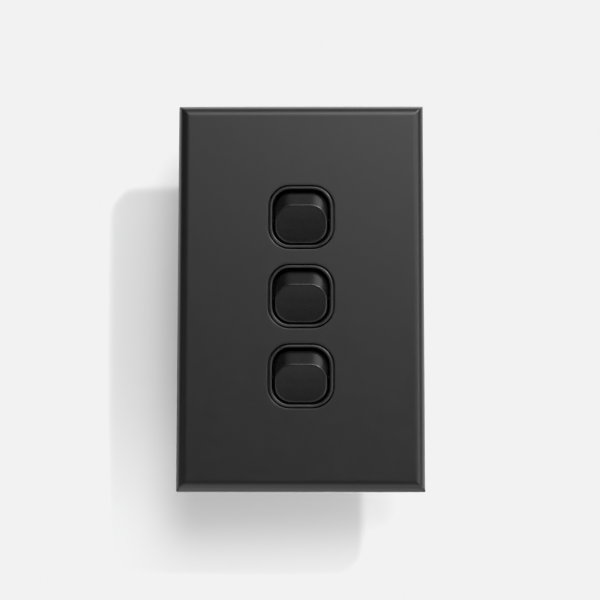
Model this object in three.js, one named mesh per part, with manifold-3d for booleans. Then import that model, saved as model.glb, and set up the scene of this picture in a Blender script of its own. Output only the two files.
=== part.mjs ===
// Three-gang wall switch: a slim black cover plate that pulls off a grid plate, which carries
// three rocker switch mechanisms. Millimetres, +Z up, the front faces -Y, +X is to the right
// as the switch is faced. The origin is the middle of the plate on the wall plane (y = 0), so
// the plate stands in front of the wall at y < 0 and the mechanisms reach into it at y > 0.

import * as THREE from "three";
import { mergeVertices } from "three/addons/utils/BufferGeometryUtils.js";
import { ConvexGeometry } from "three/addons/geometries/ConvexGeometry.js";
import Module from "manifold-3d";

const wasm = await Module();
wasm.setup();

const DEGREE = Math.PI / 180;
const GAP = 0.3; // clearance between pieces that touch in the real switch
const PAST = 1; // how far a cutting tool runs past the face it opens

// Cover plate
const COVER_WIDTH = 74.5;
const COVER_HEIGHT = 117;
const FACE_Y = -9; // the front face stands this far off the wall
const EDGE_ROUND = 3.2; // round-over of the four front edges, mitred at the corners
const FACE_WALL = 1.5;
const SIDE_WALL = 2;
const HOLE = { width: 19.9, height: 19.4, corner: 6.6 };
const TONGUE = { x: 30, z: 50, width: 6, thickness: 1.4, tipY: -0.6 };
const PRY_NOTCH = { width: 8, depth: 1.2 };

// Switch positions
const SWITCH_PITCH = 24;
const SWITCH_COUNT = 3;

// Grid plate
const GRID_THICKNESS = 2.8;
const GRID_CLEARANCE = 0.35; // all round, inside the cover
const GRID_RIM = { width: 1.6, frontY: -4.2 };
const GRID_WINDOW = { width: 22.4, height: 72.6 };
const FIXING_CENTRES = 84;
const FIXING_SLOT = { length: 8, width: 4.2 };
const FIXING_BOSS = { radius: 5.6, frontY: -3.4 };
const CORNER_HOLE = { x: 22, z: 46, radius: 2.2 };
const SLOT_CLEARANCE = 0.4;

// Mounting screws (M3.5)
const SCREW_SHANK_RADIUS = 1.7;
const SCREW_LENGTH = 24;
const SCREW_HEAD = { radius: 3.2, height: 2.2, recess: 1.3 };

// Bezel: the ring seen round each rocker, on a flange behind the cover
const RING = { width: 19.3, height: 18.8, corner: 6.3, frontY: -9.35, edge: 0.35 };
const WINDOW = { width: 17.2, height: 17, corner: 5.3, lip: 0.65 };
const THROAT = { width: 18.2, height: 18, corner: 5.7 };
const FLANGE = { width: 22.2, height: 23.4, frontY: -7.2, backY: -5.6 };
const SWING_HEIGHT = 21.2; // clear height behind the ring for the rocker's sunk end

// Housing
const HOUSING = { width: 21.8, height: 23.2, frontY: -5.3, backY: 14 };
const ROCKER_BAY = { width: 17.8, backY: 2 };
const CONTACT_BAY = { width: 14.4, height: 20, backY: 9.8 };
const EAR = { reach: 1.9, height: 14, backY: -3.1 };
const SNAP = { reach: 0.9, height: 8, frontY: 0.3, backY: 2.4 };
const BARRIER = { thickness: 1.2, backY: 17, inset: 1.2 }; // walls between the terminals

// Rocker, drawn about its pivot at mid-throw
const PIVOT_Y = -1;
const ROCKER_TILT = 14 * DEGREE; // to either side of mid-throw
const ROCKER_SECTIONS = [
  { reach: 9.5, width: 14.9, height: 11.2, corner: 4.9 },
  { reach: 9.33, width: 15.4, height: 11.7, corner: 5.1 },
  { reach: 8.95, width: 15.6, height: 12.3, corner: 5.2 },
  { reach: 6.47, width: 16.2, height: 17.1, corner: 5.3 },
  { reach: 5.25, width: 16.4, height: 18.1, corner: 5.3 },
  { reach: 3, width: 16.4, height: 17.6, corner: 5.3 },
];
const ROCKER_WALL = 1.3;
const CHEEK = { thickness: 1.1, radius: 2 };
const PIN = { radius: 1.2, reach: 9.9 };
const STEM = { radius: 2.2, bore: 1.45, endReach: -3, boreTop: 5.4 };

// Plunger and spring, inside the rocker's stem, with the plunger's 0.3 mm travel between them
const PLUNGER = { radius: 1.1, tipReach: -5, topReach: -1.3 };
const SPRING = { radius: 0.92, wire: 0.24, bottom: -0.74, top: 5.1, turns: 5 };

// Contact arm, drawn about its fulcrum at mid-throw
const FULCRUM_Y = PIVOT_Y + 5.7;
const ARM_TILT = 8 * DEGREE;
const ARM = { width: 5, length: 15.6, frontY: -0.6, backY: 0.2 };
const FULCRUM = { radius: 0.8, length: 8.6 };
const CONTACT = { z: 6.7, radius: 1.2, height: 0.5 };

// Terminals: brass barrels behind the housing, clamped by a screw from the side
const BARREL = { x: 5.7, z: 6.1, radius: 3, bore: 1.9, frontY: 11.2, backY: 22.5 };
const STRIP = { width: 3, thickness: 0.8, frontY: 7.05 };
const RISER = { innerX: 4.1, outerX: 6.7 };
const SADDLE = { cheekX: 3.1, cheekWidth: 1.3, groove: 1.15, depth: 1.8, footY: 8.7 };
const CLAMP_SCREW = { y: 18.4, radius: 1.4, headRadius: 2.2, headX: 9, endX: 10.7, tipX: 7 };

const COLOURS = {
  cover: { color: 0x242426, roughness: 0.62, metalness: 0 },
  bezel: { color: 0x1c1c1d, roughness: 0.5, metalness: 0 },
  rocker: { color: 0x1a1a1b, roughness: 0.42, metalness: 0 },
  grid: { color: 0x2e2e30, roughness: 0.7, metalness: 0 },
  housing: { color: 0x333335, roughness: 0.65, metalness: 0 },
  plunger: { color: 0xd8d4c8, roughness: 0.5, metalness: 0 },
  brass: { color: 0xb8933f, roughness: 0.35, metalness: 1 },
  copper: { color: 0xb4703f, roughness: 0.35, metalness: 1 },
  steel: { color: 0xa9abad, roughness: 0.35, metalness: 1 },
};

// ---------------------------------------------------------------- solids

function toSolid(geometry) {
  const bare = geometry.clone();
  bare.deleteAttribute("normal");
  bare.deleteAttribute("uv");
  const merged = mergeVertices(bare, 1e-4);
  return new wasm.Manifold(
    new wasm.Mesh({
      numProp: 3,
      vertProperties: merged.attributes.position.array,
      triVerts: Uint32Array.from(merged.index.array),
    }),
  );
}

function toGeometry(solid) {
  const mesh = solid.getMesh();
  const geometry = new THREE.BufferGeometry();
  geometry.setAttribute("position", new THREE.BufferAttribute(mesh.vertProperties, 3));
  geometry.setIndex(new THREE.BufferAttribute(mesh.triVerts, 1));
  geometry.computeVertexNormals();
  return geometry;
}

const join = (solids) => solids.reduce((whole, solid) => whole.add(solid));
const cut = (solid, tools) => tools.reduce((rest, tool) => rest.subtract(tool), solid);

function box([x0, x1], [y0, y1], [z0, z1]) {
  const geometry = new THREE.BoxGeometry(x1 - x0, y1 - y0, z1 - z0);
  geometry.translate((x0 + x1) / 2, (y0 + y1) / 2, (z0 + z1) / 2);
  return toSolid(geometry);
}

// A cylinder or cone frustum whose axis runs along Y; radius is its front radius.
function post(radius, [y0, y1], { x = 0, z = 0, sides = 20, backRadius = radius } = {}) {
  const geometry = new THREE.CylinderGeometry(backRadius, radius, y1 - y0, sides);
  geometry.translate(x, (y0 + y1) / 2, z);
  return toSolid(geometry);
}

// A cylinder whose axis runs along X.
function pin(radius, [x0, x1], { y = 0, z = 0, sides = 16 } = {}) {
  const geometry = new THREE.CylinderGeometry(radius, radius, x1 - x0, sides);
  geometry.rotateZ(Math.PI / 2);
  geometry.translate((x0 + x1) / 2, y, z);
  return toSolid(geometry);
}

// Points round a rounded rectangle, anticlockwise.
function roundedOutline({ width, height, corner, steps = 4 }) {
  const points = [];
  const quarters = [[1, 1], [-1, 1], [-1, -1], [1, -1]];
  quarters.forEach(([sideX, sideZ], quarter) => {
    for (let i = 0; i <= steps; i++) {
      const angle = (quarter + i / steps) * (Math.PI / 2);
      const x = sideX * (width / 2 - corner) + corner * Math.cos(angle);
      const z = sideZ * (height / 2 - corner) + corner * Math.sin(angle);
      points.push(new THREE.Vector2(x, z));
    }
  });
  return points;
}

// An X-Z outline extruded from front to back along Y.
function slab(points, [frontY, backY], { x = 0, z = 0 } = {}) {
  const geometry = new THREE.ExtrudeGeometry(new THREE.Shape(points), {
    depth: backY - frontY,
    bevelEnabled: false,
  });
  geometry.rotateX(Math.PI / 2);
  geometry.translate(x, backY, z);
  return toSolid(geometry);
}

// An X-Z outline extruded along Y whose front edge is rounded over; the outline is the outer size.
function roundedSlab(shrunkPoints, [frontY, backY], edge, segments) {
  const geometry = new THREE.ExtrudeGeometry(new THREE.Shape(shrunkPoints), {
    depth: backY - frontY,
    bevelThickness: edge,
    bevelSize: edge,
    bevelSegments: segments,
  });
  geometry.rotateX(Math.PI / 2);
  geometry.translate(0, backY, 0);
  const behind = box([-100, 100], [backY, backY + edge + PAST], [-100, 100]);
  return toSolid(geometry).subtract(behind);
}

// A Y-Z outline extruded along X.
function sideSlab(points, [x0, x1]) {
  const geometry = new THREE.ExtrudeGeometry(new THREE.Shape(points), {
    depth: x1 - x0,
    bevelEnabled: false,
  });
  const turn = new THREE.Matrix4().makeBasis(
    new THREE.Vector3(0, 1, 0),
    new THREE.Vector3(0, 0, 1),
    new THREE.Vector3(1, 0, 0),
  );
  geometry.applyMatrix4(turn);
  geometry.translate(x0, 0, 0);
  return toSolid(geometry);
}

// The convex solid through a stack of rounded rectangles, each at its reach in front of y = 0.
function stack(sections) {
  const points = sections.flatMap((section) =>
    roundedOutline(section).map((p) => new THREE.Vector3(p.x, -section.reach, p.y)),
  );
  return toSolid(new ConvexGeometry(points));
}

const rectangle = (width, height) => [
  new THREE.Vector2(-width / 2, -height / 2),
  new THREE.Vector2(width / 2, -height / 2),
  new THREE.Vector2(width / 2, height / 2),
  new THREE.Vector2(-width / 2, height / 2),
];

function piece(name, solid, colour) {
  const mesh = new THREE.Mesh(toGeometry(solid), new THREE.MeshStandardMaterial(colour));
  mesh.name = name;
  return mesh;
}

const switchHeights = Array.from(
  { length: SWITCH_COUNT },
  (_, i) => ((SWITCH_COUNT - 1) / 2 - i) * SWITCH_PITCH,
);
const bothSides = [-1, 1];
const fourCorners = bothSides.flatMap((sideX) => bothSides.map((sideZ) => [sideX, sideZ]));

// ---------------------------------------------------------------- cover plate

function coverTongue([sideX, sideZ]) {
  const x = sideX * TONGUE.x;
  const z = sideZ * TONGUE.z;
  return box(
    [x - TONGUE.width / 2, x + TONGUE.width / 2],
    [FACE_Y + FACE_WALL / 2, TONGUE.tipY],
    [z - TONGUE.thickness / 2, z + TONGUE.thickness / 2],
  );
}

function coverPlate() {
  const shrunk = rectangle(COVER_WIDTH - 2 * EDGE_ROUND, COVER_HEIGHT - 2 * EDGE_ROUND);
  const shell = roundedSlab(shrunk, [FACE_Y + EDGE_ROUND, 0], EDGE_ROUND, 5);
  const pocket = slab(
    rectangle(COVER_WIDTH - 2 * SIDE_WALL, COVER_HEIGHT - 2 * SIDE_WALL),
    [FACE_Y + FACE_WALL, PAST],
  );
  const holes = switchHeights.map((z) =>
    slab(roundedOutline({ ...HOLE, steps: 6 }), [FACE_Y - PAST, FACE_Y + FACE_WALL + PAST], { z }),
  );
  const notch = box(
    [-PRY_NOTCH.width / 2, PRY_NOTCH.width / 2],
    [-PRY_NOTCH.depth, PAST],
    [-COVER_HEIGHT / 2 - PAST, -COVER_HEIGHT / 2 + SIDE_WALL + PAST],
  );
  return join([cut(shell, [pocket, ...holes, notch]), ...fourCorners.map(coverTongue)]);
}

// ---------------------------------------------------------------- grid plate and its screws

function fixingSlot(side) {
  const outline = roundedOutline({
    width: FIXING_SLOT.length,
    height: FIXING_SLOT.width,
    corner: FIXING_SLOT.width / 2 - 0.01,
    steps: 4,
  });
  return slab(outline, [GRID_RIM.frontY - PAST, PAST], { z: (side * FIXING_CENTRES) / 2 });
}

function tongueSlot([sideX, sideZ]) {
  const x = sideX * TONGUE.x;
  const z = sideZ * TONGUE.z;
  const halfWidth = TONGUE.width / 2 + SLOT_CLEARANCE;
  const halfThickness = TONGUE.thickness / 2 + SLOT_CLEARANCE;
  return box(
    [x - halfWidth, x + halfWidth],
    [GRID_RIM.frontY - PAST, PAST],
    [z - halfThickness, z + halfThickness],
  );
}

function gridPlate() {
  const width = COVER_WIDTH - 2 * (SIDE_WALL + GRID_CLEARANCE);
  const height = COVER_HEIGHT - 2 * (SIDE_WALL + GRID_CLEARANCE);
  const blank = slab(rectangle(width, height), [GRID_RIM.frontY, 0]);
  const tray = slab(
    rectangle(width - 2 * GRID_RIM.width, height - 2 * GRID_RIM.width),
    [GRID_RIM.frontY - PAST, -GRID_THICKNESS],
  );
  const bosses = bothSides.map((side) =>
    post(FIXING_BOSS.radius, [FIXING_BOSS.frontY, -GRID_THICKNESS / 2], {
      z: (side * FIXING_CENTRES) / 2,
      sides: 24,
    }),
  );
  const window = slab(rectangle(GRID_WINDOW.width, GRID_WINDOW.height), [
    GRID_RIM.frontY - PAST,
    PAST,
  ]);
  const cornerHoles = fourCorners.map(([sideX, sideZ]) =>
    post(CORNER_HOLE.radius, [GRID_RIM.frontY - PAST, PAST], {
      x: sideX * CORNER_HOLE.x,
      z: sideZ * CORNER_HOLE.z,
      sides: 12,
    }),
  );
  const bossedTray = join([blank.subtract(tray), ...bosses]);
  return cut(bossedTray, [
    window,
    ...bothSides.map(fixingSlot),
    ...fourCorners.map(tongueSlot),
    ...cornerHoles,
  ]);
}

function mountingScrew(side) {
  const z = (side * FIXING_CENTRES) / 2;
  const seatY = FIXING_BOSS.frontY - GAP;
  const headFront = seatY - SCREW_HEAD.height;
  const head = post(SCREW_HEAD.radius - 0.7, [headFront, seatY], {
    z,
    backRadius: SCREW_HEAD.radius,
  });
  const shank = post(SCREW_SHANK_RADIUS, [seatY - 0.5, seatY + SCREW_LENGTH - 2], { z, sides: 14 });
  const tip = post(SCREW_SHANK_RADIUS, [seatY + SCREW_LENGTH - 2.1, seatY + SCREW_LENGTH], {
    z,
    sides: 14,
    backRadius: 0.3,
  });
  const recessY = [headFront - PAST, headFront + SCREW_HEAD.recess];
  const cross = [
    box([-1.7, 1.7], recessY, [z - 0.35, z + 0.35]),
    box([-0.35, 0.35], recessY, [z - 1.7, z + 1.7]),
  ];
  return cut(join([head, shank, tip]), cross);
}

// ---------------------------------------------------------------- switch mechanism

function bezel() {
  const shrunk = roundedOutline({
    width: RING.width - 2 * RING.edge,
    height: RING.height - 2 * RING.edge,
    corner: RING.corner - RING.edge,
    steps: 5,
  });
  const ring = roundedSlab(shrunk, [RING.frontY + RING.edge, FLANGE.frontY + 0.5], RING.edge, 2);
  const flange = slab(rectangle(FLANGE.width, FLANGE.height), [FLANGE.frontY, FLANGE.backY]);
  const lipBack = RING.frontY + WINDOW.lip;
  return cut(join([ring, flange]), [
    slab(roundedOutline({ ...WINDOW, steps: 5 }), [RING.frontY - PAST, lipBack + PAST]),
    slab(roundedOutline({ ...THROAT, steps: 5 }), [lipBack, FLANGE.backY + PAST]),
    slab(rectangle(THROAT.width, SWING_HEIGHT), [FLANGE.frontY, FLANGE.backY + PAST]),
  ]);
}

// The slot that lets a rocker pin down into its bearing from the front.
function bearingSlot(side) {
  const radius = PIN.radius + 0.25;
  const inner = side * (ROCKER_BAY.width / 2 - PAST);
  const outer = side * (PIN.reach + GAP);
  const span = [Math.min(inner, outer), Math.max(inner, outer)];
  return pin(radius, span, { y: PIVOT_Y }).add(
    box(span, [HOUSING.frontY - PAST, PIVOT_Y], [-radius, radius]),
  );
}

function housingEar(side) {
  const inner = side * (HOUSING.width / 2 - 0.5);
  const outer = side * (HOUSING.width / 2 + EAR.reach);
  return box(
    [Math.min(inner, outer), Math.max(inner, outer)],
    [HOUSING.frontY, EAR.backY],
    [-EAR.height / 2, EAR.height / 2],
  );
}

// A wedge that snaps out behind the grid plate.
function snapWedge(side) {
  const inner = side * (HOUSING.width / 2 - 0.5);
  const outer = side * (HOUSING.width / 2 + SNAP.reach);
  const outline = [
    new THREE.Vector2(inner, SNAP.frontY),
    new THREE.Vector2(outer, SNAP.frontY),
    new THREE.Vector2(side * (HOUSING.width / 2), SNAP.backY),
    new THREE.Vector2(inner, SNAP.backY),
  ];
  const shape = new THREE.Shape(side > 0 ? outline : outline.reverse());
  const geometry = new THREE.ExtrudeGeometry(shape, { depth: SNAP.height, bevelEnabled: false });
  geometry.translate(0, 0, -SNAP.height / 2);
  return toSolid(geometry);
}

// The cross of walls that keeps the four terminals apart.
function barriers() {
  const half = BARRIER.thickness / 2;
  const y = [HOUSING.backY - 0.5, BARRIER.backY];
  const halfWidth = HOUSING.width / 2 - BARRIER.inset;
  const halfHeight = HOUSING.height / 2 - BARRIER.inset;
  return [
    box([-half, half], y, [-halfHeight, halfHeight]),
    box([-halfWidth, halfWidth], y, [-half, half]),
  ];
}

function housing() {
  const body = box(
    [-HOUSING.width / 2, HOUSING.width / 2],
    [HOUSING.frontY, HOUSING.backY],
    [-HOUSING.height / 2, HOUSING.height / 2],
  );
  const rockerBay = box(
    [-ROCKER_BAY.width / 2, ROCKER_BAY.width / 2],
    [HOUSING.frontY - PAST, ROCKER_BAY.backY],
    [-SWING_HEIGHT / 2, SWING_HEIGHT / 2],
  );
  const contactBay = box(
    [-CONTACT_BAY.width / 2, CONTACT_BAY.width / 2],
    [0, CONTACT_BAY.backY],
    [-CONTACT_BAY.height / 2, CONTACT_BAY.height / 2],
  );
  const sockets = fourCorners.map(([sideX, sideZ]) =>
    post(BARREL.radius + GAP, [BARREL.frontY - GAP, HOUSING.backY + PAST], {
      x: sideX * BARREL.x,
      z: sideZ * BARREL.z,
      sides: 12,
    }),
  );
  const slots = [riserSlot(1, 1), riserSlot(-1, 1), riserSlot(-1, -1)];
  const outside = join([
    body,
    ...barriers(),
    ...bothSides.map(housingEar),
    ...bothSides.map(snapWedge),
  ]);
  return cut(outside, [
    rockerBay,
    contactBay,
    ...sockets,
    ...slots,
    ...bothSides.map(bearingSlot),
  ]);
}

// The slot in the contact bay's floor through which a strip reaches its barrel.
function riserSlot(sideX, sideZ) {
  const x = [sideX * (RISER.innerX - GAP), sideX * (RISER.outerX + GAP)].sort((a, b) => a - b);
  const middle = sideZ * CONTACT.z;
  const half = STRIP.width / 2 + GAP;
  return box(x, [CONTACT_BAY.backY - PAST, BARREL.frontY], [middle - half, middle + half]);
}

// A side cheek carries the rocker's pin: it narrows from the skirt to a round end at the pivot.
function rockerCheek(side) {
  const outer = ROCKER_SECTIONS.at(-1).width / 2;
  const span = [outer - CHEEK.thickness, outer].map((x) => side * x).sort((a, b) => a - b);
  const outline = [new THREE.Vector2(-4.2, 4.6), new THREE.Vector2(-4.2, -4.6)];
  for (let i = 0; i <= 8; i++) {
    const angle = (i / 8 - 0.5) * Math.PI;
    outline.push(
      new THREE.Vector2(CHEEK.radius * Math.cos(angle), CHEEK.radius * Math.sin(angle)),
    );
  }
  const pinEnds = [outer - CHEEK.thickness / 2, PIN.reach].map((x) => side * x);
  return sideSlab(outline, span).add(pin(PIN.radius, pinEnds.sort((a, b) => a - b)));
}

function rocker() {
  const skin = stack(ROCKER_SECTIONS);
  const hollow = stack(
    ROCKER_SECTIONS.map((section, i) => ({
      reach: i === ROCKER_SECTIONS.length - 1 ? section.reach - PAST : section.reach - ROCKER_WALL,
      width: section.width - 2 * ROCKER_WALL,
      height: section.height - 2 * ROCKER_WALL,
      corner: section.corner - ROCKER_WALL,
      steps: 3,
    })),
  );
  const stem = post(STEM.radius, [-ROCKER_SECTIONS[0].reach + ROCKER_WALL / 2, -STEM.endReach]);
  const bore = post(STEM.bore, [-STEM.boreTop, -STEM.endReach + PAST]);
  return join([skin.subtract(hollow), stem, ...bothSides.map(rockerCheek)]).subtract(bore);
}

function plunger() {
  const profile = [
    new THREE.Vector2(0, -PLUNGER.tipReach),
    ...[60, 30, 0].map((degrees) => {
      const angle = degrees * DEGREE;
      const along = -PLUNGER.tipReach - PLUNGER.radius * (1 - Math.sin(angle));
      return new THREE.Vector2(PLUNGER.radius * Math.cos(angle), along);
    }),
    new THREE.Vector2(PLUNGER.radius, -PLUNGER.topReach),
    new THREE.Vector2(0, -PLUNGER.topReach),
  ];
  return toSolid(new THREE.LatheGeometry(profile.reverse(), 14));
}

// The helix that the spring's wire follows, along -Y.
class Helix extends THREE.Curve {
  getPoint(t, target = new THREE.Vector3()) {
    const angle = t * SPRING.turns * 2 * Math.PI;
    const reach = SPRING.bottom + t * (SPRING.top - SPRING.bottom);
    return target.set(SPRING.radius * Math.cos(angle), -reach, SPRING.radius * Math.sin(angle));
  }
}

function spring() {
  const wire = new THREE.Shape(
    Array.from({ length: 4 }, (_, i) => {
      const angle = (i / 4) * 2 * Math.PI;
      return new THREE.Vector2(SPRING.wire * Math.cos(angle), SPRING.wire * Math.sin(angle));
    }),
  );
  const steps = SPRING.turns * 8;
  return toSolid(new THREE.ExtrudeGeometry(wire, { steps, extrudePath: new Helix() }));
}

function contactArm() {
  const blade = box(
    [-ARM.width / 2, ARM.width / 2],
    [ARM.frontY, ARM.backY],
    [-ARM.length / 2, ARM.length / 2],
  );
  const axle = pin(FULCRUM.radius, [-FULCRUM.length / 2, FULCRUM.length / 2], { sides: 12 });
  const tips = bothSides.map((side) =>
    post(CONTACT.radius, [ARM.backY - 0.1, ARM.backY + CONTACT.height], {
      z: side * CONTACT.z,
      sides: 12,
      backRadius: CONTACT.radius - 0.3,
    }),
  );
  const front = box([-10, 10], [-2, ARM.frontY], [-2, 2]);
  return join([blade, axle, ...tips]).subtract(front);
}

function barrel(sideX, sideZ) {
  const x = sideX * BARREL.x;
  const z = sideZ * BARREL.z;
  const clamp = [x, sideX * (BARREL.x + BARREL.radius + PAST)].sort((a, b) => a - b);
  return cut(post(BARREL.radius, [BARREL.frontY, BARREL.backY], { x, z, sides: 14 }), [
    post(BARREL.bore, [HOUSING.backY, BARREL.backY + PAST], { x, z, sides: 10 }),
    pin(CLAMP_SCREW.radius + GAP / 2, clamp, { y: CLAMP_SCREW.y, z, sides: 8 }),
  ]);
}

// The flat riser that joins a barrel to the strips inside the housing.
function riser(sideX, sideZ, frontY) {
  const x = [sideX * RISER.innerX, sideX * RISER.outerX].sort((a, b) => a - b);
  const middle = sideZ * CONTACT.z;
  const z = [middle - STRIP.width / 2, middle + STRIP.width / 2];
  return box(x, [frontY, BARREL.frontY + 0.5], z);
}

// A switched terminal: its strip crosses to the end of the contact arm.
function switchedTerminal(sideZ) {
  const middle = sideZ * CONTACT.z;
  const strip = box(
    [-RISER.outerX, 2],
    [STRIP.frontY, STRIP.frontY + STRIP.thickness],
    [middle - STRIP.width / 2, middle + STRIP.width / 2],
  );
  const tip = post(CONTACT.radius - 0.2, [STRIP.frontY - 0.4, STRIP.frontY + 0.2], {
    z: middle,
    sides: 12,
  });
  return join([barrel(-1, sideZ), riser(-1, sideZ, STRIP.frontY), strip, tip]);
}

function saddleCheek(side) {
  const x = [side * SADDLE.cheekX, side * (SADDLE.cheekX + SADDLE.cheekWidth)];
  x.sort((a, b) => a - b);
  const past = [x[0] - PAST, x[1] + PAST];
  const groove = pin(SADDLE.groove, past, { y: FULCRUM_Y, sides: 12 });
  const mouth = box(past, [FULCRUM_Y - 2, FULCRUM_Y], [-SADDLE.groove, SADDLE.groove]);
  const block = box(x, [FULCRUM_Y - 0.6, SADDLE.footY + 0.4], [-SADDLE.depth, SADDLE.depth]);
  return cut(block, [groove, mouth]);
}

// The common terminal carries the saddle that the contact arm rocks in.
function commonTerminal() {
  const footY = [SADDLE.footY, SADDLE.footY + STRIP.thickness];
  const footX = SADDLE.cheekX + SADDLE.cheekWidth;
  const foot = box([-footX, footX], footY, [-SADDLE.depth, SADDLE.depth]);
  const strap = box([3.4, RISER.outerX], footY, [-SADDLE.depth, CONTACT.z + STRIP.width / 2]);
  return join([
    barrel(1, 1),
    riser(1, 1, SADDLE.footY),
    strap,
    foot,
    ...bothSides.map(saddleCheek),
  ]);
}

function clampScrew([sideX, sideZ]) {
  const z = sideZ * BARREL.z;
  const along = (from, to) => [sideX * from, sideX * to].sort((a, b) => a - b);
  const shank = pin(CLAMP_SCREW.radius, along(CLAMP_SCREW.tipX, CLAMP_SCREW.headX + 0.2), {
    y: CLAMP_SCREW.y,
    z,
    sides: 8,
  });
  const head = pin(CLAMP_SCREW.headRadius, along(CLAMP_SCREW.headX, CLAMP_SCREW.endX), {
    y: CLAMP_SCREW.y,
    z,
    sides: 12,
  });
  const slot = box(
    along(CLAMP_SCREW.endX - 0.7, CLAMP_SCREW.endX + PAST),
    [CLAMP_SCREW.y - 3, CLAMP_SCREW.y + 3],
    [z - 0.35, z + 0.35],
  );
  return shank.add(head).subtract(slot);
}

// The four terminals of one mechanism, by name, with the corner each one stands in.
const TERMINALS = [
  { name: "terminal_1", corner: [-1, 1], make: () => switchedTerminal(1) },
  { name: "terminal_2", corner: [-1, -1], make: () => switchedTerminal(-1) },
  { name: "terminal_common", corner: [1, 1], make: commonTerminal },
  { name: "terminal_loop", corner: [1, -1], make: () => barrel(1, -1) },
];

function mechanism(number, z) {
  const group = new THREE.Group();
  group.position.z = z;
  const named = (name) => `${name}_${number}`;

  const rockerGroup = new THREE.Group();
  rockerGroup.position.y = PIVOT_Y;
  rockerGroup.rotation.x = ROCKER_TILT;
  rockerGroup.add(
    piece(named("rocker"), rocker(), COLOURS.rocker),
    piece(named("plunger"), plunger(), COLOURS.plunger),
    piece(named("plunger_spring"), spring(), COLOURS.steel),
  );

  const armGroup = new THREE.Group();
  armGroup.position.y = FULCRUM_Y;
  armGroup.rotation.x = -ARM_TILT;
  armGroup.add(piece(named("contact_arm"), contactArm(), COLOURS.copper));

  group.add(
    piece(named("bezel"), bezel(), COLOURS.bezel),
    piece(named("housing"), housing(), COLOURS.housing),
    rockerGroup,
    armGroup,
  );
  TERMINALS.forEach(({ name, corner, make }) => {
    group.add(piece(named(name), make(), COLOURS.brass));
    group.add(piece(named(`${name}_screw`), clampScrew(corner), COLOURS.steel));
  });
  return group;
}

// ---------------------------------------------------------------- assembly

const wallSwitch = new THREE.Group();
wallSwitch.add(
  piece("cover_plate", coverPlate(), COLOURS.cover),
  piece("grid_plate", gridPlate(), COLOURS.grid),
  piece("mounting_screw_top", mountingScrew(1), COLOURS.steel),
  piece("mounting_screw_bottom", mountingScrew(-1), COLOURS.steel),
);
switchHeights.forEach((z, i) => wallSwitch.add(mechanism(i + 1, z)));

export default wallSwitch;
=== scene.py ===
"""Finished look of the three-gang wall switch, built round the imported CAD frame.

Sizes are in millimetres until a piece is placed; the object keeps the CAD's axes: +Z up, the
front faces -Y, and the wall plane is y = 0. The switch lies in front of a pale upright floor.
"""

import math

import bmesh
import bpy
from mathutils import Matrix, Vector


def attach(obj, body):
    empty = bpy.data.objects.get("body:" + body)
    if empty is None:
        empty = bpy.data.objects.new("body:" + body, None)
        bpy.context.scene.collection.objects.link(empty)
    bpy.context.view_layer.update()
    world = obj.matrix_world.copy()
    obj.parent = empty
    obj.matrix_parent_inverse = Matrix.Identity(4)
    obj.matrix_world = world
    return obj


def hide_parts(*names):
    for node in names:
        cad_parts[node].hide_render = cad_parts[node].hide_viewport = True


MM = 0.001
BOTH_SIDES = (-1, 1)
CORNERS = [(side_x, side_z) for side_x in BOTH_SIDES for side_z in BOTH_SIDES]
QUARTERS = [(1, 1), (-1, 1), (-1, -1), (1, -1)]  # signs of X and Z, anticlockwise
SWITCH_Z = {1: 24.0, 2: 0.0, 3: -24.0}
GAP = 0.3
INSET = 0.03  # joined blocks are this much apart where their faces would coincide
MERGE = 1e-4  # corners closer than this become one
CARVED_MERGE = 0.002  # the same, after a cut
ROOT = 0.5  # how far inside another block one that stands on it starts
SMOOTH_ANGLE = 32.0  # faces that meet at a sharper angle than this show an edge

# Cover plate and the points round its outlines
ARC_STEPS = 10
STRAIGHT_STEPS = 5
COVER = {"width": 74.5, "height": 117.0, "face_y": -9.0, "wall": 1.5, "side": 2.0}
COVER_EDGE = 3.2
COVER_MITRE = 0.35
HOLE = {"width": 19.9, "height": 19.4, "corner": 6.6}
HOLE_FILLET = 0.28
SUPPORTS = (0.8, 0.4)  # loops this far inside a flat face keep edge wear off the rest of it
TONGUE = {"x": 30.0, "z": 50.0, "width": 6.0, "thickness": 1.4, "tip_y": -0.6}
PRY_NOTCH = {"width": 8.0, "depth": 1.2}
RIM_EASE = 0.25

# Bezel
RING = {"width": 19.3, "height": 18.8, "corner": 6.3}
RING_Y = -9.35
RING_ROUND = 0.42
WINDOW = {"width": 17.2, "height": 17.0, "corner": 5.3}
WINDOW_BACK_Y = -8.7
THROAT = {"width": 18.2, "height": 18.0, "corner": 5.7}
SWING = {"width": 18.3, "height": 21.2, "corner": 0.6}
FLANGE = {"width": 22.2, "height": 23.4, "corner": 0.8}
FLANGE_Y = (-7.2, -5.6)
FLANGE_EASE = 0.25

# Rocker, drawn about its pivot at mid-throw; reach is the distance in front of the pivot
PIVOT_Y = -1.0
ROCKER_TILT = math.radians(14)
ROCKER_FACE = {"reach": 9.5, "width": 14.7, "height": 11.0, "corner": 4.85}
ROCKER_EDGE = 0.45
ROCKER_ARC_STEPS = 14
ROCKER_DISH = {"depth": 0.18, "insets": (4.4, 3.3, 2.2, 1.4, *SUPPORTS)}
ROCKER_SKIRT = [
    {"reach": 6.47, "width": 16.2, "height": 17.1, "corner": 5.3},
    {"reach": 5.9, "width": 16.32, "height": 17.75, "corner": 5.3},
    {"reach": 5.25, "width": 16.4, "height": 18.1, "corner": 5.3},
    {"reach": 3.0, "width": 16.4, "height": 17.6, "corner": 5.3},
]
ROCKER_WALL = 1.3
PIN = {"radius": 1.2, "reach": 9.9}
CHEEK = {"thickness": 1.1, "radius": 2.0, "root_y": -4.2, "root_half": 4.6}
STEM = {"radius": 2.2, "bore": 1.45, "end": -3.0, "bore_top": 5.4}
PLUNGER = {"radius": 1.1, "tip": -5.0, "top": -1.3}
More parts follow.
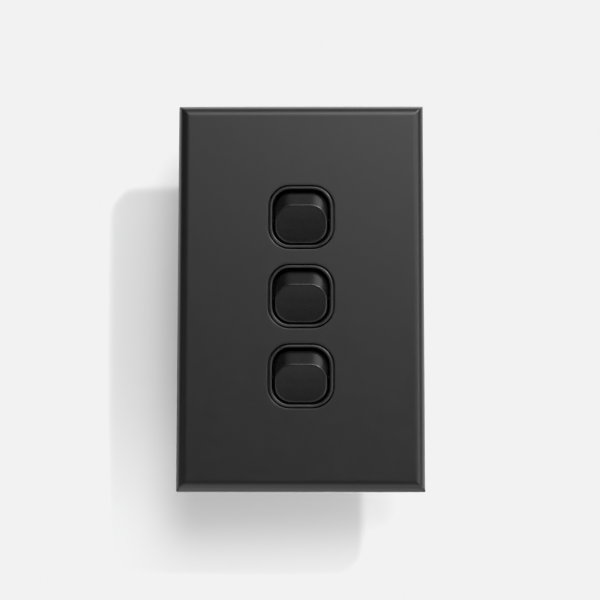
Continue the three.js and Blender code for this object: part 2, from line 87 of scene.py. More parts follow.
SPRING = {"radius": 0.92, "wire": 0.24, "bottom": -0.74, "top": 5.1, "turns": 5}

# Grid plate and mounting screws
GRID = {"width": 69.8, "height": 112.3, "thickness": 2.8, "rim": 1.6, "rim_y": -4.2}
GRID_WINDOW = {"width": 22.4, "height": 72.6}
FIXING_CENTRES = 84.0
FIXING_SLOT = {"width": 8.0, "height": 4.2, "corner": 2.09}
FIXING_BOSS = {"radius": 5.6, "front_y": -3.4}
CORNER_HOLE = {"x": 22.0, "z": 46.0, "radius": 2.2}
SLOT_CLEARANCE = 0.4
SCREW = {"shank": 1.7, "thread": 1.5, "length": 24.0, "head": 3.2, "head_height": 2.2}
# The thread starts behind the head and ends, and the point starts, before the end; tip is a radius
SCREW_THREAD = {"start": 1.4, "pitch": 0.6, "end": 2.4, "point": 1.6, "tip": 0.3}
PAN_HEAD = {"flat": 1.2, "rim": 0.45}
CROSS = {"reach": 1.7, "half_width": 0.35, "depth": 1.3}

# Housing
HOUSING = {"width": 21.8, "height": 23.2, "front_y": -5.3, "back_y": 14.0}
ROCKER_BAY = {"width": 17.8, "height": 21.2, "back_y": 2.0}
CONTACT_BAY = {"width": 14.4, "height": 20.0, "back_y": 9.8}
EAR = {"reach": 1.9, "height": 14.0, "back_y": -3.1}
SNAP = {"reach": 0.9, "height": 8.0, "front_y": 0.3, "back_y": 2.4}
BARRIER = {"thickness": 1.2, "back_y": 17.0, "inset": 1.2}

# Contact arm and terminals
FULCRUM_Y = 4.7
ARM_TILT = math.radians(8)
ARM = {"width": 5.0, "length": 15.6, "front_y": -0.6, "back_y": 0.2}
FULCRUM = {"radius": 0.8, "length": 8.6}
CONTACT = {"z": 6.7, "radius": 1.2, "height": 0.5}
BARREL = {"x": 5.7, "z": 6.1, "radius": 3.0, "bore": 1.9, "front_y": 11.2, "back_y": 22.5}
STRIP = {"width": 3.0, "thickness": 0.8, "front_y": 7.05}
RISER = {"inner_x": 4.1, "outer_x": 6.7}
SOCKET_GAP = 0.08
SADDLE = {"x": 3.1, "width": 1.3, "groove": 1.15, "depth": 1.8, "foot_y": 8.7}
STRAP_X = 3.4
CLAMP = {"y": 18.4, "radius": 1.4, "head": 2.2, "head_x": 9.0, "end_x": 10.7, "tip_x": 7.0}
CLAMP_THREAD = {"pitch": 0.5, "depth": 0.18, "tip": 0.3}
CLAMP_SLOT = {"half_width": 0.35, "depth": 0.7}
STRIP_EDGE = 0.12

# Camera and stage
CAMERA = {"azimuth": 0.731, "elevation": -6.734, "roll": 0.083, "distance": 600.45}
CAMERA_TARGET = (-0.366, -4.5, -0.682)
SENSOR = 36.0
LENS = 119.2
BACKDROP_TONE = 0.888
KEY = {"azimuth": 39.0, "elevation": 34.4, "spread": 4.0, "strength": 1.5}
SOFT_LIGHTS = [  # azimuth (0 is in front, 90 to the right), elevation, spread, strength
    (10, 28, 20, 6.5),
    (25, 32, 36, 1.3),
    (42, 4, 14, 3.5),
    (0, 62, 36, 0.4),
    (75, 55, 26, 1.8),
    (118, 50, 26, 3.0),
    (60, -30, 36, 2.6),
    (0, -38, 24, 0.6),
    (-55, -30, 36, 1.4),
    (-70, -65, 36, 1.5),
    (0, -56, 22, 1.3),
    (-130, 32, 36, 2.0),
    (150, 0, 36, 4.0),
    (140, 32, 36, 4.0),
    (180, 62, 36, 3.0),
    (180, -14, 30, 1.2),
    (180, -74, 30, 1.5),
    (100, 0, 26, 2.8),
    (-112, 0, 26, 1.2),
]
FLOOR_Y = 22.7  # just behind the terminals
FLOOR_SIZE = 6000.0
FLOOR_TONE = 0.8
FLOOR_GLOW = 0.13  # painted light: the floor glows faintly without any lamp, which lifts the shadow cast on it


# ---------------------------------------------------------------- mesh building


def cell_outline(low, high, corners, arc=ARC_STEPS):
    """Points round a rectangle in X-Z, anticlockwise from its right-hand side.

    low and high are its opposite corners, and corners are its four radii.
    """
    arcs = []
    for quarter, (side_x, side_z) in enumerate(QUARTERS):
        radius = corners[quarter]
        x = (high.x if side_x > 0 else low.x) - side_x * radius
        z = (high.y if side_z > 0 else low.y) - side_z * radius
        angles = [(quarter + i / arc) * math.pi / 2 for i in range(arc + 1)]
        arcs.append([Vector((x + radius * math.cos(a), z + radius * math.sin(a))) for a in angles])
    points = []
    for quarter, arc_points in enumerate(arcs):
        start, end = arc_points[-1], arcs[(quarter + 1) % 4][0]
        points += arc_points
        points += [start.lerp(end, i / STRAIGHT_STEPS) for i in range(1, STRAIGHT_STEPS)]
    return points


def outline(width, height, corner, arc=ARC_STEPS):
    """Points round a rounded rectangle about the origin."""
    half = Vector((width / 2, height / 2))
    return cell_outline(-half, half, (corner,) * 4, arc)


def at_y(points, y, z=0.0):
    """An X-Z outline as 3-D points at a depth y, raised by z."""
    return [Vector((p.x, y, p.y + z)) for p in points]


def level(shape, y, inset=0.0, z=0.0, arc=ARC_STEPS):
    """The outline of a rounded shape at one depth, drawn in by inset."""
    width, height = shape["width"] - 2 * inset, shape["height"] - 2 * inset
    return at_y(outline(width, height, shape["corner"] - inset, arc), y, z)


def half_round(front_y, half_width, centre_y, radius):
    """A Y-Z outline: two corners in front and a half circle behind."""
    points = [(front_y, half_width), (front_y, -half_width)]
    for i in range(13):
        angle = (i / 12 - 0.5) * math.pi
        points.append((centre_y + radius * math.cos(angle), radius * math.sin(angle)))
    return points


def finish_mesh(bm, name, merge=MERGE):
    """Turns a bmesh into a mesh with outward normals."""
    bmesh.ops.remove_doubles(bm, verts=bm.verts, dist=merge)
    bmesh.ops.dissolve_degenerate(bm, edges=bm.edges, dist=merge)
    bmesh.ops.recalc_face_normals(bm, faces=bm.faces)
    mesh = bpy.data.meshes.new(name)
    bm.to_mesh(mesh)
    bm.free()
    return mesh


def skin(bm, contours, closed=False, caps=False):
    """Joins contours of equal length with quads; closed joins the last one back to the first."""
    rows = [[bm.verts.new(p) for p in contour] for contour in contours]
    pairs = list(zip(rows, rows[1:]))
    if closed:
        pairs.append((rows[-1], rows[0]))
    for row, following in pairs:
        for i in range(len(row)):
            j = (i + 1) % len(row)
            bm.faces.new((row[i], row[j], following[j], following[i]))
    if caps:
        bm.faces.new(rows[0])
        bm.faces.new(rows[-1])


def loft(name, contours, closed=False, caps=False):
    """A mesh skinned through contours of equal length."""
    bm = bmesh.new()
    skin(bm, contours, closed, caps)
    return finish_mesh(bm, name)


def box(x, y, z, edge=0.2):
    """A block with rounded edges; x, y and z are (low, high)."""
    bm = bmesh.new()
    size = Matrix.Diagonal((x[1] - x[0], y[1] - y[0], z[1] - z[0], 1))
    centre = Matrix.Translation((sum(x) / 2, sum(y) / 2, sum(z) / 2))
    bmesh.ops.create_cube(bm, size=1, matrix=centre @ size)
    if edge:
        bmesh.ops.bevel(
            bm, geom=bm.edges[:], offset=edge, segments=2, profile=0.5, affect="EDGES"
        )
    return finish_mesh(bm, "block")


def turned(profile, axis="Y", centre=(0, 0, 0), sides=40):
    """A solid of revolution from (radius, along) points, closed with flat ends."""
    bm = bmesh.new()
    rows = []
    for radius, along in profile:
        row = []
        for i in range(sides):
            angle = 2 * math.pi * i / sides
            across, up = radius * math.cos(angle), radius * math.sin(angle)
            local = Vector((across, along, up)) if axis == "Y" else Vector((along, across, up))
            row.append(local + Vector(centre))
        rows.append(row)
    skin(bm, rows, caps=True)
    return finish_mesh(bm, "turned")


def rod(radius, along, edge=0.15, **where):
    """A cylinder with eased ends; along is (low, high)."""
    low, high = along
    slope = edge * 0.3
    profile = [
        (radius - edge, low),
        (radius - slope, low + slope),
        (radius, low + edge),
        (radius, high - edge),
        (radius - slope, high - slope),
        (radius - edge, high),
    ]
    return turned(profile, **where)


def hole(radius, along, flare=0.0, flare_at=None, **where):
    """A cutting cylinder; flare opens its mouth at the along position flare_at."""
    low, high = along
    profile = [(radius, low), (radius, high)]
    if flare:
        mouth = [(radius, flare_at - flare), (radius + 2 * flare, flare_at + flare)]
        profile = [(radius, low), *mouth, (radius + 2 * flare, high)]
    return turned(profile, **where)


def plate(shape, y, z=0.0, edge=0.0):
    """An extruded rounded rectangle, eased by edge on its front and back rims."""
    front, back = y
    if not edge:
        return loft("plate", [level(shape, front, z=z), level(shape, back, z=z)], caps=True)
    contours = [
        level(shape, front, edge, z),
        level(shape, front + edge, z=z),
        level(shape, back - edge, z=z),
        level(shape, back, edge, z),
    ]
    return loft("plate", contours, caps=True)


def prism(points, x):
    """A Y-Z outline extruded along X between (low, high)."""
    rows = [[Vector((end, p[0], p[1])) for p in points] for end in x]
    return loft("prism", rows, caps=True)


def carve(meshes, cuts=()):
    """One mesh: the first meshes joined, with every cut taken away."""
    collection = bpy.context.scene.collection
    objects = [bpy.data.objects.new("part", mesh) for mesh in [*meshes, *cuts]]
    for obj in objects:
        collection.objects.link(obj)
    body = objects[0]
    for i, tool in enumerate(objects[1:], start=1):
        modifier = body.modifiers.new("carve", "BOOLEAN")
        modifier.operation = "UNION" if i < len(meshes) else "DIFFERENCE"
        modifier.solver = "EXACT"
        modifier.object = tool
    bm = bmesh.new()
    bm.from_object(body, bpy.context.evaluated_depsgraph_get())
    for obj in objects:
        mesh = obj.data
        bpy.data.objects.remove(obj)
        bpy.data.meshes.remove(mesh)
    return finish_mesh(bm, "carved", merge=CARVED_MERGE)


def moved(mesh, matrix):
    mesh.transform(matrix)
    return mesh


def place(mesh, node, body, material, z=0.0):
    """Puts a finished mesh in the scene in metres, in place of its CAD node."""
    obj = bpy.data.objects.new(f"{node}_finished", mesh)
    bpy.context.scene.collection.objects.link(obj)
    obj.location = (0, 0, z * MM)
    if not mesh.get("in_metres"):
        mesh.transform(Matrix.Scale(MM, 4))
        mesh["in_metres"] = True
        mesh.shade_smooth()
        mesh.set_sharp_from_angle(angle=math.radians(SMOOTH_ANGLE))
        mesh.materials.clear()
        mesh.materials.append(material)
    modifier = obj.modifiers.new("flat faces stay flat", "WEIGHTED_NORMAL")
    modifier.keep_sharp = True
    modifier.weight = 80
    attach(obj, body)
    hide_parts(node)
    return obj


# ---------------------------------------------------------------- cover plate


def cover_cell(bm, number):
    """The slice of the cover's face round one hole, from the front face through to the back."""
    z = SWITCH_Z[number]
    half_pitch = SWITCH_Z[1] / 2
    mitre = COVER_MITRE
    corners = {1: (mitre, mitre, 0, 0), 2: (0, 0, 0, 0), 3: (0, 0, mitre, mitre)}[number]

    def cell(half_width, half_height):
        top = half_height if number == 1 else z + half_pitch
        bottom = -half_height if number == 3 else z - half_pitch
        return cell_outline(Vector((-half_width, bottom)), Vector((half_width, top)), corners)

    inset = COVER_EDGE + SUPPORTS[0]
    front = cell(COVER["width"] / 2 - inset, COVER["height"] / 2 - inset)
    back = cell(COVER["width"] / 2 - COVER["side"], COVER["height"] / 2 - COVER["side"])
    face_y, back_y = COVER["face_y"], COVER["face_y"] + COVER["wall"]
    contours = [at_y(front, face_y)]
    for support in SUPPORTS:
        contours.append(level(HOLE, face_y, -HOLE_FILLET - support, z))
    for step in range(5):
        angle = step / 4 * math.pi / 2
        grown = HOLE_FILLET * (1 - math.sin(angle))
        depth = HOLE_FILLET * (1 - math.cos(angle))
        contours.append(level(HOLE, face_y + depth, -grown, z))
    contours += [level(HOLE, back_y, z=z), at_y(back, back_y)]
    skin(bm, contours)


def cover_perimeter(half_width, half_height, corner, y):
    """The cover's outline at one depth, with its points where the cells' points are."""
    half_pitch = SWITCH_Z[1] / 2
    points = []
    for quarter, (side_x, side_z) in enumerate(QUARTERS):
        centre = Vector((side_x * (half_width - corner), side_z * (half_height - corner)))
        for i in range(ARC_STEPS + 1):
            angle = (quarter + i / ARC_STEPS) * math.pi / 2
            points.append(centre + corner * Vector((math.cos(angle), math.sin(angle))))
        if quarter in (0, 2):
            start, end = points[-1], Vector((-points[-1].x, points[-1].y))
            points += [start.lerp(end, i / STRAIGHT_STEPS) for i in range(1, STRAIGHT_STEPS)]
            continue
        end_z = side_z * (half_height - corner)
        stops = [end_z, side_z * half_pitch, -side_z * half_pitch, -end_z]
        for low, high in zip(stops, stops[1:]):
            for i in range(1, STRAIGHT_STEPS + 1):
                z = low + (high - low) * i / STRAIGHT_STEPS
                points.append(Vector((side_x * half_width, z)))
        points.pop()
    return at_y(points, y)


def cover_side(bm):
    """The round-over from the front face, the side, the rim and the inside of the side."""
    half_width, half_height = COVER["width"] / 2, COVER["height"] / 2
    rings = [(COVER_EDGE + support, COVER["face_y"]) for support in SUPPORTS]
    for step in range(13):
        angle = step / 12 * math.pi / 2
        inset = COVER_EDGE * (1 - math.sin(angle))
        rings.append((inset, COVER["face_y"] + COVER_EDGE * (1 - math.cos(angle))))
    side = COVER["side"]
    rings += [(0, -RIM_EASE), (RIM_EASE, 0), (side - RIM_EASE, 0), (side, -RIM_EASE)]
    rings.append((side, COVER["face_y"] + COVER["wall"]))
    contours = [
        cover_perimeter(half_width - inset, half_height - inset, COVER_MITRE, y)
        for inset, y in rings
    ]
    skin(bm, contours)


def cover_tongue(side_x, side_z):
    """The blade near one corner that slides into the grid plate."""
    x, z = side_x * TONGUE["x"], side_z * TONGUE["z"]
    half_width, half_thick = TONGUE["width"] / 2, TONGUE["thickness"] / 2
    return box(
        (x - half_width, x + half_width),
        (COVER["face_y"] + COVER["wall"] / 2, TONGUE["tip_y"]),
        (z - half_thick, z + half_thick),
        edge=0.3,
    )


def cover_mesh():
    """The cover plate: three slices of face, the side, four tongues and a notch to pry at."""
    bm = bmesh.new()
    for number in SWITCH_Z:
        cover_cell(bm, number)
    cover_side(bm)
    shell = finish_mesh(bm, "cover", merge=CARVED_MERGE)
    bottom = -COVER["height"] / 2
    notch = box(
        (-PRY_NOTCH["width"] / 2, PRY_NOTCH["width"] / 2),
        (-PRY_NOTCH["depth"], 3),
        (bottom - 3, bottom + COVER["side"] + 1.5),
        edge=0.3,
    )
    return carve([shell, *[cover_tongue(*corner) for corner in CORNERS]], [notch])


# ---------------------------------------------------------------- bezel and rocker


def ring_contours(shape, sign):
    """The rounded front rim from its crown to a wall: sign is 1 outside the ring, -1 inside."""
    rows = []
    for step in range(5):
        angle = step / 4 * math.pi / 2
        inset = sign * RING_ROUND * (1 - math.sin(angle))
        rows.append(level(shape, RING_Y + RING_ROUND * (1 - math.cos(angle)), inset))
    return rows


def bezel_mesh():
    """The ring round a rocker, on the flange that stands behind the cover."""
    front, back = FLANGE_Y
    contours = [
        level(FLANGE, back, FLANGE_EASE),
        level(FLANGE, back - FLANGE_EASE),
        level(FLANGE, front + FLANGE_EASE),
        level(FLANGE, front, FLANGE_EASE),
        level(RING, front),
        *ring_contours(RING, 1)[::-1],
        *ring_contours(WINDOW, -1),
        level(WINDOW, WINDOW_BACK_Y),
        level(THROAT, WINDOW_BACK_Y),
        level(THROAT, front),
        level(SWING, front),
        level(SWING, back),
    ]
    return loft("bezel", contours, closed=True)


def rocker_section(drop):
    """The outline of the rocker's skin at a distance behind its face."""
    top = ROCKER_SKIRT[0]
    depth = ROCKER_FACE["reach"] - top["reach"]

    def half(key):
        """A rounded edge that runs on into a straight flank down to the skirt."""
        flat, end = ROCKER_FACE[key] / 2, top[key] / 2
        slope = math.atan2(end - flat - ROCKER_EDGE * 0.6, depth - ROCKER_EDGE * 0.6)
        turn = math.pi / 2 - slope
        turn_drop = ROCKER_EDGE * (1 - math.cos(turn))
        turn_out = flat + ROCKER_EDGE * math.sin(turn)
        if drop <= turn_drop:
            return flat + math.sqrt(max(0, ROCKER_EDGE**2 - (ROCKER_EDGE - drop) ** 2))
        share = (drop - turn_drop) / (depth - turn_drop)
        return turn_out + share * (end - turn_out)

    share = drop / depth
    corner = ROCKER_FACE["corner"] + share * (top["corner"] - ROCKER_FACE["corner"])
    corner += min(drop, ROCKER_EDGE) * 0.5 * (1 - share)
    return outline(2 * half("width"), 2 * half("height"), corner, ROCKER_ARC_STEPS)


def dish_loop(inset, face_y):
    """One loop of the face's shallow dish, this far inside its rim."""
    share = 1 - 2 * inset / ROCKER_FACE["height"]
    y = face_y + ROCKER_DISH["depth"] * (1 - share**2)
    return level(ROCKER_FACE, y, inset, arc=ROCKER_ARC_STEPS)


def rocker_shell():
    """The hollow cap: its dished face, edge, flanks and skirt, and its inside."""
    depth = ROCKER_FACE["reach"] - ROCKER_SKIRT[0]["reach"]
    drops = [ROCKER_EDGE * (1 - math.cos(i / 6 * math.pi / 2)) for i in range(7)]
    drops += [ROCKER_EDGE + (depth - ROCKER_EDGE) * i / 4 for i in range(1, 4)]
    face_y = -ROCKER_FACE["reach"]
    contours = [dish_loop(inset, face_y) for inset in ROCKER_DISH["insets"]]
    contours += [at_y(rocker_section(drop), face_y + drop) for drop in drops]
    stops = [(part, -part["reach"], 0) for part in ROCKER_SKIRT]
    stops.append((ROCKER_SKIRT[-1], -ROCKER_SKIRT[-1]["reach"], ROCKER_WALL))
    for part in [*ROCKER_SKIRT[-2::-1], ROCKER_FACE]:
        stops.append((part, ROCKER_WALL - part["reach"], ROCKER_WALL))
    contours += [level(*stop, arc=ROCKER_ARC_STEPS) for stop in stops]
    return loft("rocker", contours, caps=True)


def rocker_mesh():
    """The rocker as it stands at rest, tilted one way about its pins."""
    stem = rod(STEM["radius"], (ROCKER_WALL / 2 - ROCKER_FACE["reach"], -STEM["end"]))
    bore = hole(STEM["bore"], (-STEM["bore_top"], -STEM["end"] + 1))
    cheeks = [rocker_cheek(side) for side in BOTH_SIDES]
    mesh = carve([rocker_shell(), stem, *cheeks], [bore])
    return moved(mesh, tilt_at(PIVOT_Y, ROCKER_TILT))


def rocker_cheek(side):
    """The web on one side of the rocker that carries its pin."""
    outer = ROCKER_SKIRT[-1]["width"] / 2 - INSET
    points = half_round(CHEEK["root_y"], CHEEK["root_half"], 0, CHEEK["radius"])
    x = sorted(side * value for value in (outer - CHEEK["thickness"], outer))
    ends = sorted(side * value for value in (outer - CHEEK["thickness"] / 2, PIN["reach"]))
    return carve([prism(points, x), rod(PIN["radius"], ends, axis="X", edge=0.2)])


def tilt_at(y, angle):
    """A turn about an axis along X at depth y."""
    return Matrix.Translation((0, y, 0)) @ Matrix.Rotation(angle, 4, "X")


def plunger_mesh():
    """The round-nosed pin that the spring in the rocker's stem presses on the contact arm."""
    tip, top, radius = -PLUNGER["tip"], -PLUNGER["top"], PLUNGER["radius"]
    profile = [(0.05, tip)]
    for i in range(1, 9):
        angle = (1 - i / 8) * math.pi / 2
        profile.append((radius * math.cos(angle), tip - radius * (1 - math.sin(angle))))
    profile += [(radius, top + 0.15), (radius - 0.15, top)]
    return moved(turned(profile, sides=32), tilt_at(PIVOT_Y, ROCKER_TILT))


def spring_mesh():
    """A coil with its end turns wound closer, as a compression spring's are."""
    turns, steps, sides = SPRING["turns"], 36, 10
    total = turns * steps
    rows = []
    for i in range(total + 1):
        t = i / total
        angle = t * turns * 2 * math.pi
        closed_ends = t - math.sin(2 * math.pi * t) / (2 * math.pi) * 0.5
        along = SPRING["bottom"] + closed_ends * (SPRING["top"] - SPRING["bottom"])
        out = Vector((math.cos(angle), 0, math.sin(angle)))
        centre = out * SPRING["radius"] - Vector((0, along, 0))
        row = []
        for j in range(sides):
            turn = 2 * math.pi * j / sides
            offset = out * math.cos(turn) + Vector((0, 1, 0)) * math.sin(turn)
            row.append(centre + offset * SPRING["wire"])
        rows.append(row)
    return moved(loft("spring", rows, caps=True), tilt_at(PIVOT_Y, ROCKER_TILT))


# ---------------------------------------------------------------- grid plate and screws


def grid_cuts(side_x, side_z, y):
    """The slot for a tongue and the round hole near one corner of the grid plate."""
    x, z = side_x * TONGUE["x"], side_z * TONGUE["z"]
    half_width = TONGUE["width"] / 2 + SLOT_CLEARANCE
    half_thick = TONGUE["thickness"] / 2 + SLOT_CLEARANCE
    slot = box((x - half_width, x + half_width), y, (z - half_thick, z + half_thick))
    centre = (side_x * CORNER_HOLE["x"], 0, side_z * CORNER_HOLE["z"])
    return [slot, hole(CORNER_HOLE["radius"], y, centre=centre)]


def grid_mesh():
    """A shallow tray with a window for the three switches and a boss at each fixing screw."""
    width, height, rim = GRID["width"], GRID["height"], GRID["rim"]
    blank = plate({"width": width, "height": height, "corner": 0.6}, (GRID["rim_y"], 0), edge=0.2)
    through = (GRID["rim_y"] - 2, 3)
    tray_shape = {"width": width - 2 * rim, "height": height - 2 * rim, "corner": 1.0}
    tray = plate(tray_shape, (through[0], -GRID["thickness"]), edge=0.3)
    bosses, cuts = [], [plate({**GRID_WINDOW, "corner": 0.5}, through)]
    for side in BOTH_SIDES:
        z = side * FIXING_CENTRES / 2
        reach = (FIXING_BOSS["front_y"], -GRID["thickness"] / 2)
        bosses.append(rod(FIXING_BOSS["radius"], reach, centre=(0, 0, z), sides=56))
        cuts.append(plate(FIXING_SLOT, through, z=z))
    for side_x, side_z in CORNERS:
        cuts += grid_cuts(side_x, side_z, through)
    hollow = carve([blank], [tray])
    return carve([hollow, *bosses], cuts)


def mounting_screw_profile(front, seat):
    """The screw's half outline from its head's front to its tip; seat is the head's underside."""
    radius, flat = SCREW["head"], PAN_HEAD["flat"]
    rise = SCREW["head_height"] - PAN_HEAD["rim"]
    profile = [(0.01, front)]
    for i in range(1, 8):
        angle = i / 7 * math.pi / 2
        out = flat + (radius - flat) * math.sin(angle)
        profile.append((out, front + rise * (1 - math.cos(angle))))
    profile += [(radius, seat - 0.1), (radius - 0.1, seat), (SCREW["shank"], seat)]
    end = seat + SCREW["length"]
    along, pitch = seat + SCREW_THREAD["start"], SCREW_THREAD["pitch"]
    profile.append((SCREW["shank"], along))
    while along < end - SCREW_THREAD["end"]:
        profile.append((SCREW["thread"], along + pitch * 0.5))
        profile.append((SCREW["shank"], along + pitch))
        along += pitch
    return [*profile, (SCREW["thread"], end - SCREW_THREAD["point"]), (SCREW_THREAD["tip"], end)]


def mounting_screw_mesh(side):
    """A pan head with a cross recess on a threaded shank."""
    z = side * FIXING_CENTRES / 2
    seat = FIXING_BOSS["front_y"] - GAP
    front = seat - SCREW["head_height"]
    head_and_shank = turned(mounting_screw_profile(front, seat), centre=(0, 0, z), sides=36)
    recess_y = (front - 1, front + CROSS["depth"])
    reach, half = CROSS["reach"], CROSS["half_width"]
    cross = carve(
        [
            box((-reach, reach), recess_y, (z - half, z + half), edge=0.1),
            box((-half, half), recess_y, (z - reach, z + reach), edge=0.1),
        ]
    )
    return carve([head_and_shank], [cross])


# ---------------------------------------------------------------- housing


def housing_solids():
    """The housing's block, its crossed barriers, and the ears and wedges on its sides."""
    half_width, half_height = HOUSING["width"] / 2, HOUSING["height"] / 2
    front, back = HOUSING["front_y"], HOUSING["back_y"]
    thick = BARRIER["thickness"] / 2
    wall_y = (back - 0.6, BARRIER["back_y"])
    reach_x, reach_z = half_width - BARRIER["inset"], half_height - BARRIER["inset"]
    solids = [
        box((-half_width, half_width), (front, back), (-half_height, half_height), edge=0.4),
        box((-thick, thick), wall_y, (-reach_z, reach_z), edge=0.25),
        box((-reach_x, reach_x), wall_y, (-thick, thick), edge=0.25),
    ]
    for side in BOTH_SIDES:
        x = sorted((side * (half_width - ROOT), side * (half_width + EAR["reach"])))
        ear_z = (-EAR["height"] / 2, EAR["height"] / 2)
        solids.append(box(x, (front, EAR["back_y"]), ear_z, edge=0.25))
        solids.append(snap_wedge(side))
    return solids


def bay_cut(bay, front_y):
    """The hollow of one bay, from front_y to its floor."""
    half_width, half_height = bay["width"] / 2, bay["height"] / 2
    y = (front_y, bay["back_y"])
    return box((-half_width, half_width), y, (-half_height, half_height), edge=0.4)


def housing_mesh():
    """The moulded box of one switch, open at the front, with sockets for four terminals."""
    cuts = [bay_cut(ROCKER_BAY, HOUSING["front_y"] - 2), bay_cut(CONTACT_BAY, 0)]
    for side_x, side_z in CORNERS:
        centre = (side_x * BARREL["x"], 0, side_z * BARREL["z"])
        y = (BARREL["front_y"] - SOCKET_GAP, HOUSING["back_y"] + 1)
        cuts.append(hole(BARREL["radius"] + SOCKET_GAP, y, centre=centre))
    cuts += [riser_slot(side_x, side_z) for side_x, side_z in CORNERS if side_x < 0 or side_z > 0]
    cuts += [bearing_slot(side) for side in BOTH_SIDES]
    return carve(housing_solids(), cuts)


def riser_slot(side_x, side_z):
    """The slot in the contact bay's floor through which a strip reaches its barrel."""
    inner, outer = RISER["inner_x"] - SOCKET_GAP, RISER["outer_x"] + SOCKET_GAP
    half = STRIP["width"] / 2 + SOCKET_GAP
    middle = side_z * CONTACT["z"]
    return box(
        sorted((side_x * inner, side_x * outer)),
        (CONTACT_BAY["back_y"] - 1, BARREL["front_y"] + 0.2),
        (middle - half, middle + half),
        edge=0,
    )


def snap_wedge(side):
    """The wedge on one side that holds the housing in the grid plate."""
    inner = side * (HOUSING["width"] / 2 - ROOT)
    wall = side * HOUSING["width"] / 2
    outer = side * (HOUSING["width"] / 2 + SNAP["reach"])
    shape = [
        (inner, SNAP["front_y"]),
        (outer, SNAP["front_y"]),
        (outer, SNAP["front_y"] + 0.3),
        (wall, SNAP["back_y"]),
        (inner, SNAP["back_y"]),
    ]
    rows = [
        [Vector((x, y, end * SNAP["height"] / 2)) for x, y in shape] for end in BOTH_SIDES
    ]
    return loft("wedge", rows, caps=True)


def bearing_slot(side):
    """The open-fronted bearing for the rocker's pin in one side wall."""
    radius = PIN["radius"] + 0.25
    x = sorted((side * (ROCKER_BAY["width"] / 2 - 1), side * (PIN["reach"] + GAP)))
    return prism(half_round(HOUSING["front_y"] - 2, radius, PIVOT_Y, radius), x)


# ---------------------------------------------------------------- contacts and terminals


def contact_arm_mesh():
    """The rocking blade, its axle cut level with its front, and a contact near each end."""
    half_width, half_length = ARM["width"] / 2, ARM["length"] / 2
    y = (ARM["front_y"], ARM["back_y"])
    blade = box((-half_width, half_width), y, (-half_length, half_length), edge=STRIP_EDGE)
    axle_x = (-FULCRUM["length"] / 2, FULCRUM["length"] / 2)
    parts = [blade, rod(FULCRUM["radius"], axle_x, axis="X", sides=28)]
    for side in BOTH_SIDES:
        centre = (0, 0, side * CONTACT["z"])
        reach = (ARM["back_y"] - 0.1, ARM["back_y"] + CONTACT["height"])
        parts.append(rod(CONTACT["radius"], reach, edge=0.25, centre=centre, sides=28))
    front = box((-10, 10), (-2, ARM["front_y"] - INSET), (-2, 2), edge=0)
    return moved(carve(parts, [front]), tilt_at(FULCRUM_Y, -ARM_TILT))


def barrel_parts(side_x, side_z):
    """A terminal barrel with the bores for the wire and its clamp screw."""
    centre = (side_x * BARREL["x"], 0, side_z * BARREL["z"])
    body = rod(BARREL["radius"], (BARREL["front_y"], BARREL["back_y"]), edge=0.25, centre=centre)
    wire = hole(
        BARREL["bore"],
        (HOUSING["back_y"], BARREL["back_y"] + 1),
        flare=0.12,
        flare_at=BARREL["back_y"] - 0.1,
        centre=centre,
    )
    reach = sorted((side_x * BARREL["x"], side_x * (BARREL["x"] + BARREL["radius"] + 1)))
    clamp = hole(
        CLAMP["radius"] + GAP / 2,
        reach,
        axis="X",
        centre=(0, CLAMP["y"], side_z * BARREL["z"]),
        sides=28,
    )
    return [body], [wire, clamp]


def riser(side_x, side_z, front_y):
    """The strip's leg down to the barrel, just inside the strip where they join."""
    x = sorted((side_x * RISER["inner_x"], side_x * (RISER["outer_x"] - INSET)))
    middle, half = side_z * CONTACT["z"], STRIP["width"] / 2 - INSET
    y = (front_y + INSET, BARREL["front_y"] + ROOT)
    return box(x, y, (middle - half, middle + half), edge=STRIP_EDGE)


def switched_terminal_mesh(side_z):
    """A terminal with a strip that carries the fixed contact of one end of the arm."""
    body, bores = barrel_parts(-1, side_z)
    middle = side_z * CONTACT["z"]
    strip = box(
        (-RISER["outer_x"], 2),
        (STRIP["front_y"], STRIP["front_y"] + STRIP["thickness"]),
        (middle - STRIP["width"] / 2, middle + STRIP["width"] / 2),
        edge=STRIP_EDGE,
    )
    tip = rod(
        CONTACT["radius"] - 0.2,
        (STRIP["front_y"] - 0.4, STRIP["front_y"] + 0.2),
        centre=(0, 0, middle),
        sides=28,
    )
    return carve([*body, riser(-1, side_z, STRIP["front_y"]), strip, tip], bores)


def saddle_cheek(side):
    """One of the two grooved blocks that the contact arm's axle rocks in."""
    x = sorted((side * SADDLE["x"], side * (SADDLE["x"] + SADDLE["width"] - INSET)))
    past = (x[0] - 1, x[1] + 1)
    half = SADDLE["groove"] - INSET
    groove = hole(SADDLE["groove"], past, axis="X", centre=(0, FULCRUM_Y, 0), sides=28)
    mouth = box(past, (FULCRUM_Y - 2, FULCRUM_Y), (-half, half), edge=0)
    depth = SADDLE["depth"] - INSET
    y = (FULCRUM_Y - 0.6, SADDLE["foot_y"] + 0.4)
    block = box(x, y, (-depth, depth), edge=STRIP_EDGE)
    return carve([block], [groove, mouth])


